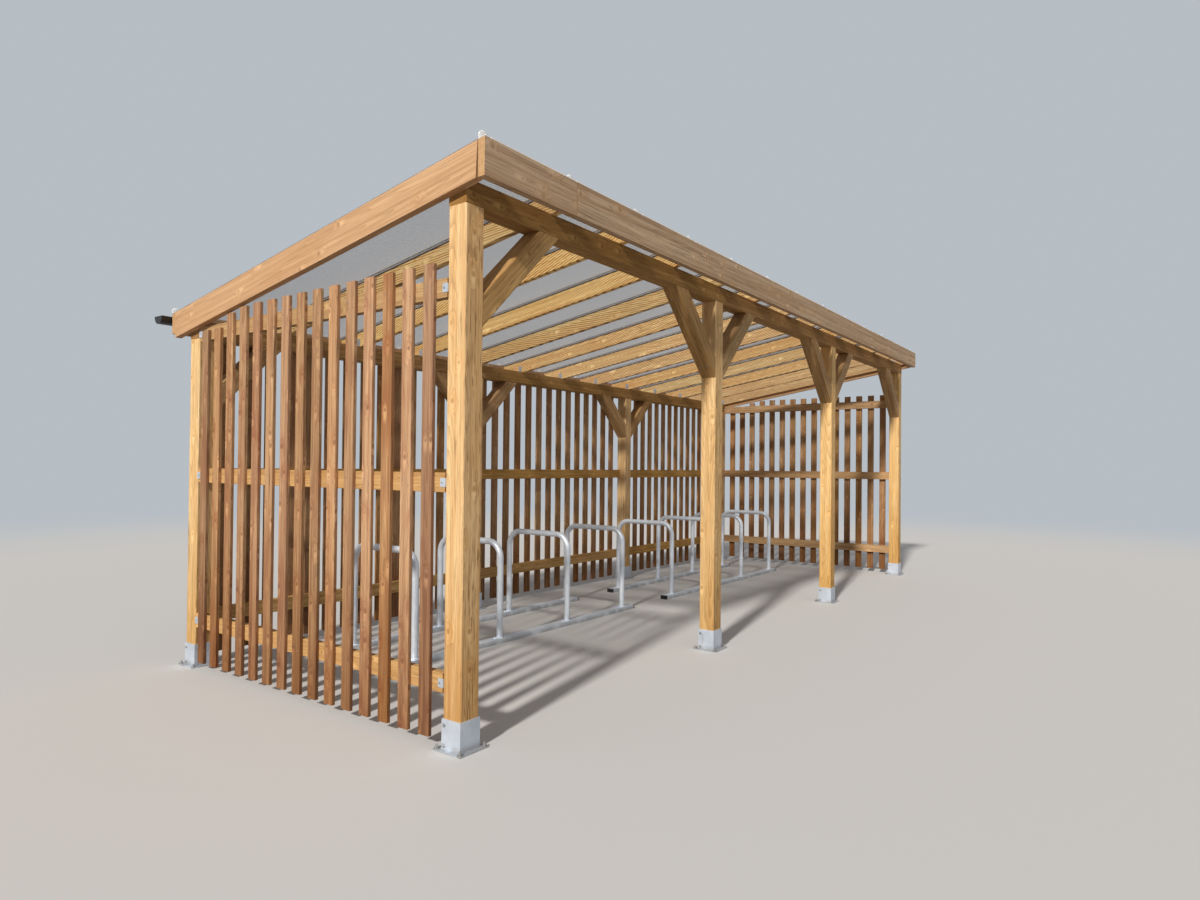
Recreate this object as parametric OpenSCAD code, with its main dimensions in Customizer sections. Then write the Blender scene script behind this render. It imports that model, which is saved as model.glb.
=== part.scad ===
// Timber bike shelter: mono-pitch clear roof, slatted screens on three sides, open high front,
// with two racks of hoops standing under it.
// X runs along the length, the open front faces -Y, Z is up and the ground is at z = 0.
// The origin is the middle of the footprint of the whole shelter.

/* [Layout] */
// Distance between post centres along the front
bay = 2650; // [2400:10:3200]
// Distance from the front post row to the rear post row
row_depth = 2650; // [2000:10:3200]
// Height of the front beam's underside
front_clear = 2726; // [2400:1:3200]
// Slope of the roof in degrees, falling to the rear
roof_pitch = 9.25; // [6:0.25:12]

/* [Posts and beams] */
// Width of the square posts
post_w = 125; // [100:1:175]
// Chamfer on the long edges of posts, beams and braces
arris = 5; // [2:0.5:10]
// Height of the beams, which are as wide as the posts
beam_h = 125; // [100:1:200]
// Length of the half lap that joins two beam lengths
lap_len = 120; // [60:1:200]
// Distance of the half lap's middle past the centre of its post
lap_offset = 30; // [0:1:60]
// Length of a front knee brace along the post and along the beam
brace_leg = 600; // [400:5:800]
// Length of a rear knee brace along the post and along the beam
rear_brace_leg = 500; // [350:5:700]
// Depth of the knee braces
brace_d = 120; // [80:1:150]

/* [Post shoes] */
// Height of the steel shoe's walls
shoe_h = 150; // [100:1:250]
// Thickness of the shoe's walls
shoe_t = 5; // [3:0.5:8]
// Width of the shoe's square base plate
plate_w = 200; // [190:1:260]
// Thickness of the base plate
plate_t = 6; // [5:1:12]
// Distance between anchor holes
anchor_pitch = 168; // [162:1:180]
// Diameter of the anchor holes
anchor_d = 14; // [8:1:14]

/* [Roof timbers] */
// Width of a rafter
rafter_w = 45; // [38:1:75]
// Depth of a rafter, square to the slope
rafter_d = 125; // [110:1:150]
// Height of the rafters' top over the beams' top, at the middle of each beam
rafter_rise = 111; // [105:1:116]
// Thickness of the fascia boards
fascia_t = 45; // [22:1:50]
// Height of the front fascia
front_fascia_h = 190; // [150:1:230]
// Upright depth of the end fascias
end_fascia_h = 180; // [150:1:225]
// Height of the rear fascia
rear_fascia_h = 145; // [120:1:180]
// Gap between the two lengths of the front fascia
fascia_gap = 4; // [0:0.5:6]
// Gap between the top of an end fascia's front end and the front fascia
fascia_play = 5; // [0:1:15]
// How much wider that gap is at the foot of the end fascia
fascia_splay = 10; // [0:1:20]
// Distance from the front beam's face to the front fascia's face
front_over = 168; // [120:1:300]
// Distance from the rear beam's face to the rear fascia's face
rear_over = 183; // [120:1:300]

/* [Roof covering] */
// Thickness of the clear sheets
sheet_t = 10; // [6:1:25]
// Distance from the front fascia's face to the front of the sheets
sheet_front_in = 9; // [0:1:20]
// Distance that the sheets run past the fascia at the rear
sheet_rear_over = 40; // [20:1:60]
// Distance that the edge strips stop short of the end fascias' faces
sheet_side_in = 10; // [0:1:20]
// Width of the glazing bars' caps
bar_w = 60; // [50:1:80]
// Height of the glazing bars' caps
bar_h = 12; // [8:1:25]
// Thickness of the glazing bars' webs
bar_web = 8; // [4:1:12]
// Play between a sheet's edge and a bar's web
sheet_play = 3; // [1:0.5:6]
// Distance from the front of the sheets to the front of the bars
bar_setback = 36; // [24:1:80]
// Length of a bar's end cap
cap_len = 12; // [6:1:20]
// Height of a bar's end cap over the sheets
cap_h = 51; // [20:1:60]
// Thickness of the trim on the sheets' ends
trim_t = 2; // [1:0.5:3]
// Width of the trim on top of the sheets
trim_lip = 22; // [15:1:40]

/* [Gutter] */
// Outer radius of the half-round gutter
gutter_r = 56; // [40:1:75]
// Thickness of the gutter's wall
gutter_t = 3; // [2:0.5:5]
// Distance that the gutter runs past the end fascias
gutter_over = 70; // [0:1:120]
// Fall from the rear fascia's top to the gutter's rim
gutter_drop = 20; // [10:1:60]
// Width of a gutter bracket
gutter_bracket_w = 30; // [20:1:50]

/* [Screens] */
// Height of a rail
rail_h = 100; // [75:1:150]
// Thickness of a rail
rail_t = 45; // [38:1:60]
// Height of the bottom rails' underside
bottom_rail_z = 278; // [150:1:500]
// Height of the middle rails' underside
mid_rail_z = 1285; // [1000:1:1500]
// Height of the top rails' underside on the two ends
top_rail_z = 2270; // [1900:1:2290]
// Width of a slat
slat_w = 80; // [50:1:100]
// Thickness of a slat
slat_t = 22; // [16:1:30]
// Chamfer on the long edges of slats and rails
board_arris = 2; // [1:0.5:4]
// Height of the slats' lower ends
slat_foot = 50; // [20:1:120]
// Length of the end slats
slat_len = 2400; // [2200:10:2600]
// Number of slats in each end screen
end_slats = 15; // [10:1:17]
// Height of the tops of the end slats that stop short at the rear
short_slat_top = 2335; // [2200:1:2350]
// Number of end slats that stop short at the rear
short_slats = 2; // [0:1:3]
// Number of slats in each rear bay
rear_slats = 14; // [8:1:17]
// Play between the slats' tops and the timber over them
slat_play = 8; // [3:1:20]

/* [Steel brackets] */
// Gap between a rail's end and the post
rail_gap = 6; // [3:1:12]
// Length of a rail bracket's leg on the rail
bracket_leg = 32; // [25:1:40]
// Length of a rail bracket's leg on the post
bracket_foot = 40; // [25:1:60]
// Height of a rail bracket
bracket_h = 45; // [30:1:80]
// Thickness of the rail brackets
bracket_t = 2.5; // [1.5:0.5:3]
// Width of a rafter clip
clip_w = 40; // [20:1:55]
// Length of a rafter clip's leg on the beam
clip_foot = 60; // [40:1:80]
// Height of a rafter clip's leg on the rafter
clip_h = 60; // [40:1:80]
// Thickness of the rafter clips
clip_t = 3; // [2:0.5:5]

/* [Racks] */
// Outer diameter of the hoops' tube
tube_d = 50; // [40:1:70]
// Distance between the centres of a hoop's legs
hoop_span = 710; // [500:5:900]
// Height of a hoop's top over the ground
hoop_h = 830; // [700:5:1000]
// Radius of the hoop's bends, at the middle of the tube
hoop_r = 130; // [100:5:240]
// Distance between hoops
hoop_pitch = 867; // [600:1:1000]
// Number of hoops in one rack
hoops = 4; // [2:1:4]
// Width of the base rails
base_w = 80; // [70:1:120]
// Height of the base rails
base_h = 40; // [30:1:60]
// Length of the base rails past the end hoops
base_over = 150; // [80:5:200]
// Thickness of the plugs in the base rails' ends
plug_t = 12; // [5:1:25]
// Distance from the hoops' rear legs to the rear posts' centres
rack_back = 500; // [200:5:600]
// Distance between the facing hoops of the two racks
rack_gap = 959; // [600:1:1200]
// Distance of the racks' middle past the middle of the shelter
rack_shift = 20; // [-60:1:60]

/* [Hidden] */
$fn = 48;

bays = 3;
rafters_per_bay = 4;
rafter_gaps = bays * rafters_per_bay;
fall = tan(roof_pitch);
half_post = post_w / 2;

// The building is laid out from the first front post, then moved so that its footprint is centred
length = bays * bay;
near_face = -half_post;
far_face = length + half_post;
front_face = -half_post - front_over;
rear_face = row_depth + half_post + rear_over;
sheet_front = front_face + sheet_front_in;
sheet_rear = rear_face + sheet_rear_over;
gutter_y = rear_face + gutter_t + gutter_r;
footprint_front = min(front_face, sheet_front - trim_t);
footprint_rear = gutter_y + gutter_r;
shift_x = -length / 2;
shift_y = -(footprint_front + footprint_rear) / 2;

rear_clear = front_clear - row_depth * fall;
bar_step = (far_face - near_face) / rafter_gaps;
slat_top = slat_foot + slat_len;
post_foot = plate_t;

fascia_near_x = near_face - fascia_t;
fascia_far_x = far_face + fascia_t;
fascia_joint_x = bar_x(1);

bar_front = sheet_front + bar_setback;
bar_y0 = bar_front + cap_len * cos(roof_pitch);
bar_y1 = sheet_rear - cap_len * cos(roof_pitch);
cap_side = 1;
cap_w = bar_w + 2 * cap_side;
cap_r = cap_w / 2 + 3;
bracket_bite = 1;

rear_rail_y = row_depth + half_post - rail_t;
slat_back = row_depth + half_post + slat_t;
rear_slat_top = roof_z(slat_back) - rafter_d / cos(roof_pitch) - slat_play;

hoop_top_z = hoop_h - tube_d / 2;
hoop_leg = hoop_top_z - hoop_r;
rack_y = row_depth - rack_back - hoop_span;
rack_run = (hoops - 1) * hoop_pitch;

post_color = [0.80, 0.62, 0.38];
beam_color = [0.62, 0.45, 0.25];
rafter_color = [0.78, 0.58, 0.28];
fascia_color = [0.72, 0.54, 0.37];
rail_color = [0.72, 0.56, 0.30];
slat_color = [0.58, 0.38, 0.25];
steel_color = [0.66, 0.70, 0.74];
sheet_color = [0.75, 0.78, 0.82, 0.6];
white_color = [0.92, 0.92, 0.90];
black_color = [0.10, 0.10, 0.11];

// Height of the rafters' top at a distance y behind the front post centres
function roof_z(y) = front_clear + beam_h + rafter_rise - y * fall;

// Place of each bar line, where an inner rafter has its centre and an end rafter its outer face
function bar_x(i) = near_face + i * bar_step;
function rafter_x(i) = i == 0 ? bar_x(i) + rafter_w / 2 : i == rafter_gaps ? bar_x(i) - rafter_w / 2 : bar_x(i);

module placed() {
    translate([shift_x, shift_y, 0])
        children();
}

// Square section with its corners cut off
module eased(w, h, c = arris) {
    polygon([
        [c, 0], [w - c, 0], [w, c], [w, h - c],
        [w - c, h], [c, h], [0, h - c], [0, c]
    ]);
}

module post(x, y, top) {
    translate([x - half_post, y - half_post, post_foot])
        linear_extrude(top - post_foot)
            eased(post_w, post_w);
}

module shoe(x, y) {
    outer = post_w + 2 * shoe_t;
    translate([x, y, 0])
        difference() {
            union() {
                translate([-plate_w / 2, -plate_w / 2, 0])
                    cube([plate_w, plate_w, plate_t]);
                translate([-outer / 2, -outer / 2, 0])
                    cube([outer, outer, plate_t + shoe_h]);
            }
            translate([-half_post, -half_post, plate_t])
                cube([post_w, post_w, shoe_h + 1]);
            for (dx = [-1, 1], dy = [-1, 1])
                translate([dx * anchor_pitch / 2, dy * anchor_pitch / 2, -1])
                    cylinder(h = plate_t + 2, d = anchor_d);
        }
}

// Beam length along X with eased edges, from x0 to x1
module beam(x0, x1, y, z) {
    translate([x0, y - half_post, z])
        rotate([90, 0, 90])
            linear_extrude(x1 - x0)
                eased(post_w, beam_h);
}

// Two beam lengths share a half lap: the near one keeps its lower half, the far one its upper half
module near_beam(y, z) {
    lap_mid = bay + lap_offset;
    difference() {
        beam(near_face, lap_mid + lap_len / 2, y, z);
        translate([lap_mid - lap_len / 2, y - post_w, z + beam_h / 2])
            cube([lap_len + 1, 2 * post_w, beam_h]);
    }
}

module far_beam(y, z) {
    lap_mid = bay + lap_offset;
    difference() {
        beam(lap_mid - lap_len / 2, far_face, y, z);
        translate([lap_mid - lap_len / 2 - 1, y - post_w, z - beam_h / 2])
            cube([lap_len + 1, 2 * post_w, beam_h]);
    }
}

// Knee brace from a post's side face at x up to a beam's underside at z; side is 1 towards +X
module brace(x, y, z, leg, side) {
    mid = leg * sqrt(2) / 2;
    translate([x, y, z])
        to_side(side)
            intersection() {
                translate([0, -half_post, -leg])
                    cube([leg, post_w, leg]);
                rotate([0, -45, 0])
                    translate([-leg, -half_post, -mid])
                        rotate([90, 0, 90])
                            linear_extrude(2 * leg)
                                eased(post_w, brace_d);
            }
}

module to_side(side) {
    mirror([side < 0 ? 1 : 0, 0, 0])
        children();
}

module brace_row(y, z, leg) {
    for (i = [0:bays]) {
        if (i < bays)
            brace(i * bay + half_post, y, z, leg, 1);
        if (i > 0)
            brace(i * bay - half_post, y, z, leg, -1);
    }
}

// Plate along the slope: its top is drop below the rafters' top line, and its ends are plumb
module sloped(x, w, y0, y1, drop, h) {
    translate([x, 0, 0])
        rotate([90, 0, 90])
            linear_extrude(w)
                polygon([
                    [y0, roof_z(y0) - drop - h], [y1, roof_z(y1) - drop - h],
                    [y1, roof_z(y1) - drop], [y0, roof_z(y0) - drop]
                ]);
}

module rafter(i) {
    beam_top = front_clear + beam_h;
    rear_top = rear_clear + beam_h;
    difference() {
        sloped(rafter_x(i) - rafter_w / 2, rafter_w, front_face + fascia_t, rear_face - fascia_t,
            0, rafter_d / cos(roof_pitch));
        translate([rafter_x(i) - rafter_w, -half_post, beam_top - beam_h])
            cube([2 * rafter_w, post_w, beam_h]);
        translate([rafter_x(i) - rafter_w, row_depth - half_post, rear_top - beam_h])
            cube([2 * rafter_w, post_w, beam_h]);
    }
}

// Fascia board along X whose top follows the slope, with its face at y_face
module cross_fascia(x0, x1, y_face, side, h) {
    y_in = y_face - side * fascia_t;
    top_face = roof_z(y_face);
    top_in = roof_z(y_in);
    bottom = top_face - h;
    translate([x0, 0, 0])
        rotate([90, 0, 90])
            linear_extrude(x1 - x0)
                polygon([[y_face, bottom], [y_in, bottom], [y_in, top_in], [y_face, top_face]]);
}

// End fascia, whose front end leans back from the front fascia
module end_fascia(x) {
    y_top = front_face + fascia_t + fascia_play;
    y_foot = y_top + fascia_splay;
    y_rear = rear_face - fascia_t;
    translate([x, 0, 0])
        rotate([90, 0, 90])
            linear_extrude(fascia_t)
                polygon([
                    [y_foot, roof_z(y_foot) - end_fascia_h], [y_rear, roof_z(y_rear) - end_fascia_h],
                    [y_rear, roof_z(y_rear)], [y_top, roof_z(y_top)]
                ]);
}

// Left and right edge of sheet i; the first and the last one are narrow strips over the end fascias
function sheet_x0(i) = i == 0 ? fascia_near_x + sheet_side_in : bar_x(i - 1) + bar_web / 2 + sheet_play;
function sheet_x1(i) = i == rafter_gaps + 1 ? fascia_far_x - sheet_side_in : bar_x(i) - bar_web / 2 - sheet_play;

module sheet(i) {
    x0 = sheet_x0(i);
    x1 = sheet_x1(i);
    t = sheet_t / cos(roof_pitch);
    sloped(x0, x1 - x0, sheet_front, sheet_rear, -t, t);
}

// White trim that closes the front edge of a sheet
module sheet_trim(i) {
    x0 = sheet_x0(i);
    x1 = sheet_x1(i);
    t = sheet_t / cos(roof_pitch);
    lip = trim_t / cos(roof_pitch);
    sloped(x0, x1 - x0, sheet_front - trim_t, sheet_front, -t - lip, t + lip);
    sloped(x0, x1 - x0, sheet_front, sheet_front + trim_lip, -t - lip, lip);
}

// Moves to the top of the rafters on bar line i and tilts +Y down the slope
module on_slope(i, y) {
    translate([bar_x(i), y, roof_z(y)])
        rotate([-roof_pitch, 0, 0])
            children();
}

// Section of a glazing bar: a web between two sheets under a cap with an arched top
module bar_section() {
    arch_r = (pow(bar_w / 2, 2) + pow(bar_h / 2, 2)) / bar_h;
    translate([-bar_web / 2, 0])
        square([bar_web, sheet_t + 1]);
    intersection() {
        translate([-bar_w / 2, sheet_t])
            square([bar_w, bar_h]);
        translate([0, sheet_t + bar_h - arch_r])
            circle(arch_r, $fn = 96);
    }
}

module glazing_bar(i) {
    on_slope(i, bar_y0)
        rotate([90, 0, 180])
            linear_extrude((bar_y1 - bar_y0) / cos(roof_pitch))
                mirror([1, 0])
                    bar_section();
}

// Moulded cap on each end of a glazing bar, which stands over the bar with a round top
module bar_cap(i, y) {
    on_slope(i, y)
        translate([-cap_w / 2, 0, sheet_t])
            intersection() {
                cube([cap_w, cap_len, cap_h]);
                translate([cap_w / 2, -1, cap_h - cap_r])
                    rotate([-90, 0, 0])
                        cylinder(h = cap_len + 2, r = cap_r);
            }
}

module gutter_shell() {
    x0 = near_face - fascia_t - gutter_over;
    run = far_face - near_face + 2 * (fascia_t + gutter_over);
    rim = roof_z(rear_face) - gutter_drop;
    translate([x0, gutter_y, rim])
        rotate([90, 0, 90])
            difference() {
                linear_extrude(run)
                    half_disc(gutter_r);
                translate([0, 0, gutter_t])
                    linear_extrude(run - 2 * gutter_t)
                        half_disc(gutter_r - gutter_t);
            }
}

module half_disc(r) {
    intersection() {
        circle(r);
        translate([-r, -r])
            square([2 * r, r]);
    }
}

// Bracket plate that holds the gutter on the rear fascia
module gutter_bracket(x) {
    rim = roof_z(rear_face) - gutter_drop;
    translate([x - gutter_bracket_w / 2, rear_face, rim - gutter_r])
        cube([gutter_bracket_w, gutter_t + bracket_bite, gutter_r]);
}

// Rail along Y between the posts of one end, from x0 to the right
module end_rail(x0, z) {
    run = row_depth - post_w - 2 * rail_gap;
    translate([x0, half_post + rail_gap + run, z])
        rotate([90, 0, 0])
            linear_extrude(run)
                eased(rail_t, rail_h, board_arris);
}

module rear_rail(i, z) {
    translate([i * bay + half_post + rail_gap, rear_rail_y, z])
        rotate([90, 0, 90])
            linear_extrude(bay - post_w - 2 * rail_gap)
                eased(rail_t, rail_h, board_arris);
}

// Gap that spaces n slats evenly between two posts
function slat_gap(clear, n) = (clear - n * slat_w) / (n + 1);

// Top of an end slat whose rear edge is at y
function end_slat_top(i, y) =
    i >= end_slats - short_slats ? short_slat_top
    : min(slat_top, roof_z(y) - end_fascia_h - slat_play);

// Slats nailed to the outer faces of one end's rails, from x outwards
module end_slat_row(x) {
    gap = slat_gap(row_depth - post_w, end_slats);
    for (i = [0:end_slats - 1]) {
        y0 = half_post + gap + i * (slat_w + gap);
        top = end_slat_top(i, y0 + slat_w);
        translate([x, y0, slat_foot])
            linear_extrude(top - slat_foot)
                eased(slat_t, slat_w, board_arris);
    }
}

module rear_slat_row(bay_i) {
    gap = slat_gap(bay - post_w, rear_slats);
    for (i = [0:rear_slats - 1])
        translate([bay_i * bay + half_post + gap + i * (slat_w + gap), row_depth + half_post, slat_foot])
            linear_extrude(rear_slat_top - slat_foot)
                eased(slat_w, slat_t, board_arris);
}

// Bracket in the gap at a rail's end, folded onto the rail's outer face.
// Its fold is at the origin, the post is on the left and the rail runs to +X with its outer face on -Y.
module rail_bracket() {
    translate([0, 0, -bracket_h / 2]) {
        cube([bracket_t, bracket_foot, bracket_h]);
        translate([0, -bracket_t, 0])
            cube([rail_gap + bracket_leg, bracket_t, bracket_h]);
    }
}

module end_bracket(x, side, y, dir, z) {
    translate([x, y, z + rail_h / 2])
        mirror([side > 0 ? 1 : 0, 0, 0])
            mirror([0, dir < 0 ? 1 : 0, 0])
                rotate([0, 0, 90])
                    mirror([0, 1, 0])
                        rail_bracket();
}

module rear_bracket(x, dir, z) {
    translate([x, row_depth + half_post, z + rail_h / 2])
        mirror([dir < 0 ? 1 : 0, 0, 0])
            mirror([0, 1, 0])
                rail_bracket();
}

module rail_bracket_set() {
    for (z = [bottom_rail_z, mid_rail_z, top_rail_z], side = [-1, 1]) {
        x = side < 0 ? near_face : far_face;
        end_bracket(x, side, half_post, 1, z);
        end_bracket(x, side, row_depth - half_post, -1, z);
    }
    for (z = [bottom_rail_z, mid_rail_z], i = [0:bays - 1]) {
        rear_bracket(i * bay + half_post, 1, z);
        rear_bracket((i + 1) * bay - half_post, -1, z);
    }
}

// Angle from y backwards that ties rafter i to a beam whose top is at z; side is 1 towards +X
module rafter_clip(i, y, z, side) {
    translate([rafter_x(i) + side * rafter_w / 2, y, z])
        to_side(side) {
            cube([clip_foot, clip_w, clip_t]);
            cube([clip_t, clip_w, clip_h]);
        }
}

// Place of the first hoop of rack r
function rack_start(r) = length / 2 + rack_shift - rack_gap / 2 - rack_run + r * (rack_run + rack_gap);

module hoop(x) {
    bar = hoop_span - 2 * hoop_r;
    translate([x, rack_y, 0]) {
        for (y = [0, hoop_span])
            translate([0, y, base_h])
                cylinder(h = hoop_leg - base_h, d = tube_d);
        translate([0, hoop_r, hoop_top_z])
            rotate([-90, 0, 0])
                cylinder(h = bar, d = tube_d);
        translate([0, hoop_r, hoop_leg])
            rotate([0, -90, 0])
                rotate([0, 0, -90])
                    hoop_bend();
        translate([0, hoop_span - hoop_r, hoop_leg])
            rotate([0, -90, 0])
                hoop_bend();
    }
}

module hoop_bend() {
    rotate_extrude(angle = 90)
        translate([hoop_r, 0])
            circle(d = tube_d);
}

module rack_hoops(r) {
    for (i = [0:hoops - 1])
        hoop(rack_start(r) + i * hoop_pitch);
}

module rack_base(r) {
    run = rack_run + 2 * base_over;
    for (y = [0, hoop_span])
        translate([rack_start(r) - base_over, rack_y + y - base_w / 2, 0])
            cube([run, base_w, base_h]);
}

module rack_plugs(r) {
    run = rack_run + 2 * base_over;
    for (y = [0, hoop_span], x = [-base_over - plug_t, run - base_over])
        translate([rack_start(r) + x, rack_y + y - base_w / 2, 0])
            cube([plug_t, base_w, base_h]);
}

module front_post_1() {
    color(post_color)
        placed()
            post(0, 0, front_clear);
}

module front_post_2() {
    color(post_color)
        placed()
            post(bay, 0, front_clear);
}

module front_post_3() {
    color(post_color)
        placed()
            post(2 * bay, 0, front_clear);
}

module front_post_4() {
    color(post_color)
        placed()
            post(3 * bay, 0, front_clear);
}

module rear_post_1() {
    color(post_color)
        placed()
            post(0, row_depth, rear_clear);
}

module rear_post_2() {
    color(post_color)
        placed()
            post(bay, row_depth, rear_clear);
}

module rear_post_3() {
    color(post_color)
        placed()
            post(2 * bay, row_depth, rear_clear);
}

module rear_post_4() {
    color(post_color)
        placed()
            post(3 * bay, row_depth, rear_clear);
}

module front_shoes() {
    color(steel_color)
        placed()
            for (i = [0:bays])
                shoe(i * bay, 0);
}

module rear_shoes() {
    color(steel_color)
        placed()
            for (i = [0:bays])
                shoe(i * bay, row_depth);
}

module front_beam_near() {
    color(beam_color)
        placed()
            near_beam(0, front_clear);
}

module front_beam_far() {
    color(beam_color)
        placed()
            far_beam(0, front_clear);
}

module rear_beam_near() {
    color(beam_color)
        placed()
            near_beam(row_depth, rear_clear);
}

module rear_beam_far() {
    color(beam_color)
        placed()
            far_beam(row_depth, rear_clear);
}

module front_braces() {
    color(beam_color)
        placed()
            brace_row(0, front_clear, brace_leg);
}

module rear_braces() {
    color(beam_color)
        placed()
            brace_row(row_depth, rear_clear, rear_brace_leg);
}

module rafters() {
    color(rafter_color)
        placed()
            for (i = [0:rafter_gaps])
                rafter(i);
}

module front_fascia_short() {
    color(fascia_color)
        placed()
            cross_fascia(fascia_near_x, fascia_joint_x - fascia_gap / 2, front_face, -1, front_fascia_h);
}

module front_fascia_long() {
    color(fascia_color)
        placed()
            cross_fascia(fascia_joint_x + fascia_gap / 2, fascia_far_x, front_face, -1, front_fascia_h);
}

module near_fascia() {
    color(fascia_color)
        placed()
            end_fascia(fascia_near_x);
}

module far_fascia() {
    color(fascia_color)
        placed()
            end_fascia(far_face);
}

module rear_fascia() {
    color(fascia_color)
        placed()
            cross_fascia(fascia_near_x, fascia_far_x, rear_face, 1, rear_fascia_h);
}

module roof_sheets() {
    color(sheet_color)
        placed()
            for (i = [0:rafter_gaps + 1])
                sheet(i);
}

module glazing_bars() {
    color(sheet_color)
        placed()
            for (i = [0:rafter_gaps])
                glazing_bar(i);
}

module bar_end_caps() {
    color(white_color)
        placed()
            for (i = [0:rafter_gaps], y = [bar_front, bar_y1])
                bar_cap(i, y);
}

module sheet_trims() {
    color(white_color)
        placed()
            for (i = [0:rafter_gaps + 1])
                sheet_trim(i);
}

module gutter() {
    color(black_color)
        placed() {
            gutter_shell();
            for (i = [0:2:rafter_gaps])
                gutter_bracket(rafter_x(i));
        }
}

module near_bottom_rail() {
    color(rail_color)
        placed()
            end_rail(near_face, bottom_rail_z);
}

module near_mid_rail() {
    color(rail_color)
        placed()
            end_rail(near_face, mid_rail_z);
}

module near_top_rail() {
    color(rail_color)
        placed()
            end_rail(near_face, top_rail_z);
}

module far_bottom_rail() {
    color(rail_color)
        placed()
            end_rail(far_face - rail_t, bottom_rail_z);
}

module far_mid_rail() {
    color(rail_color)
        placed()
            end_rail(far_face - rail_t, mid_rail_z);
}

module far_top_rail() {
    color(rail_color)
        placed()
            end_rail(far_face - rail_t, top_rail_z);
}

module rear_bottom_rails() {
    color(rail_color)
        placed()
            for (i = [0:bays - 1])
                rear_rail(i, bottom_rail_z);
}

module rear_mid_rails() {
    color(rail_color)
        placed()
            for (i = [0:bays - 1])
                rear_rail(i, mid_rail_z);
}

module near_slats() {
    color(slat_color)
        placed()
            end_slat_row(near_face - slat_t);
}

module far_slats() {
    color(slat_color)
        placed()
            end_slat_row(far_face);
}

module rear_slats_1() {
    color(slat_color)
        placed()
            rear_slat_row(0);
}

module rear_slats_2() {
    color(slat_color)
        placed()
            rear_slat_row(1);
}

module rear_slats_3() {
    color(slat_color)
        placed()
            rear_slat_row(2);
}

module rail_brackets() {
    color(steel_color)
        placed()
            rail_bracket_set();
}

module rafter_clips() {
    color(steel_color)
        placed()
            for (i = [0:rafter_gaps]) {
                front_side = i == rafter_gaps ? -1 : 1;
                rear_side = i == 0 ? 1 : -1;
                rafter_clip(i, half_post - arris - clip_w, front_clear + beam_h, front_side);
                rafter_clip(i, row_depth - half_post + arris, rear_clear + beam_h, rear_side);
            }
}

module rack_1_base() {
    color(steel_color)
        placed()
            rack_base(0);
}

module rack_2_base() {
    color(steel_color)
        placed()
            rack_base(1);
}

module rack_1_hoops() {
    color(steel_color)
        placed()
            rack_hoops(0);
}

module rack_2_hoops() {
    color(steel_color)
        placed()
            rack_hoops(1);
}

module rack_end_plugs() {
    color(black_color)
        placed()
            for (r = [0, 1])
                rack_plugs(r);
}

front_post_1();
front_post_2();
front_post_3();
front_post_4();
rear_post_1();
rear_post_2();
rear_post_3();
rear_post_4();
front_shoes();
rear_shoes();
front_beam_near();
front_beam_far();
rear_beam_near();
rear_beam_far();
front_braces();
rear_braces();
rafters();
front_fascia_short();
front_fascia_long();
near_fascia();
far_fascia();
rear_fascia();
roof_sheets();
glazing_bars();
bar_end_caps();
sheet_trims();
gutter();
near_bottom_rail();
near_mid_rail();
near_top_rail();
far_bottom_rail();
far_mid_rail();
far_top_rail();
rear_bottom_rails();
rear_mid_rails();
near_slats();
far_slats();
rear_slats_1();
rear_slats_2();
rear_slats_3();
rail_brackets();
rafter_clips();
rack_1_base();
rack_2_base();
rack_1_hoops();
rack_2_hoops();
rack_end_plugs();
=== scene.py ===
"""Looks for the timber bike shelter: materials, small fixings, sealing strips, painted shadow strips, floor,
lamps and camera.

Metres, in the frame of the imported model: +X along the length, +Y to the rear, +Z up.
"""

import math
import random

import bmesh
import bpy
from mathutils import Matrix, Vector

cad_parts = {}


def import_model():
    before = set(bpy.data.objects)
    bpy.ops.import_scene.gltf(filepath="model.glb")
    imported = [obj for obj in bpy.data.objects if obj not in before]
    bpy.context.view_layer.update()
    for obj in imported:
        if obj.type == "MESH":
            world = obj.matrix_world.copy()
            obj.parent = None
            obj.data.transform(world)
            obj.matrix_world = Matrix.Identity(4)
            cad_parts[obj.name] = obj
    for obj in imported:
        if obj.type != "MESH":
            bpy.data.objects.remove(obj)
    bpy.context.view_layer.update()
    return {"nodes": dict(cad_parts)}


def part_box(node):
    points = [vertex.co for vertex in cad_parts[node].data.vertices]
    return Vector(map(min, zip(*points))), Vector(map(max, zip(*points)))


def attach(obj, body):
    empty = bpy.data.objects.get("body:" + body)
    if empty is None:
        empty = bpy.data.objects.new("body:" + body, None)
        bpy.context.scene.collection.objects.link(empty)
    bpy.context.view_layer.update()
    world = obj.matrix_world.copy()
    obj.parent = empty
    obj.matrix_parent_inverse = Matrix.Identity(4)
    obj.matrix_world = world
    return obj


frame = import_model()
random.seed(11)

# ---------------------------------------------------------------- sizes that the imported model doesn't name

BAYS = 3
RAFTERS_PER_BAY = 4
END_SLATS = 15
REAR_SLATS = 14
HOOPS_PER_RACK = 4
ROOF_PITCH = math.radians(9.25)
SLAT_W = 0.080
RAFTER_W = 0.045
BEAM_H = 0.125
SHEET_T = 0.010
HALF_CAP = 0.030            # half the width of a glazing bar's cap
FRONT_BRACE_LEG = 0.600     # reach of a brace along its post and its beam
REAR_BRACE_LEG = 0.500
SHOE_WALL = 0.005
BASE_PLATE_T = 0.006
HALF_ANCHORS = 0.084        # half the spacing of a shoe's ground anchors
BRACKET_T = 0.0025
CLIP_T = 0.003
HOOP_BASE_Z = 0.040         # top of the racks' base rails
TUBE_R = 0.025

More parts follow.
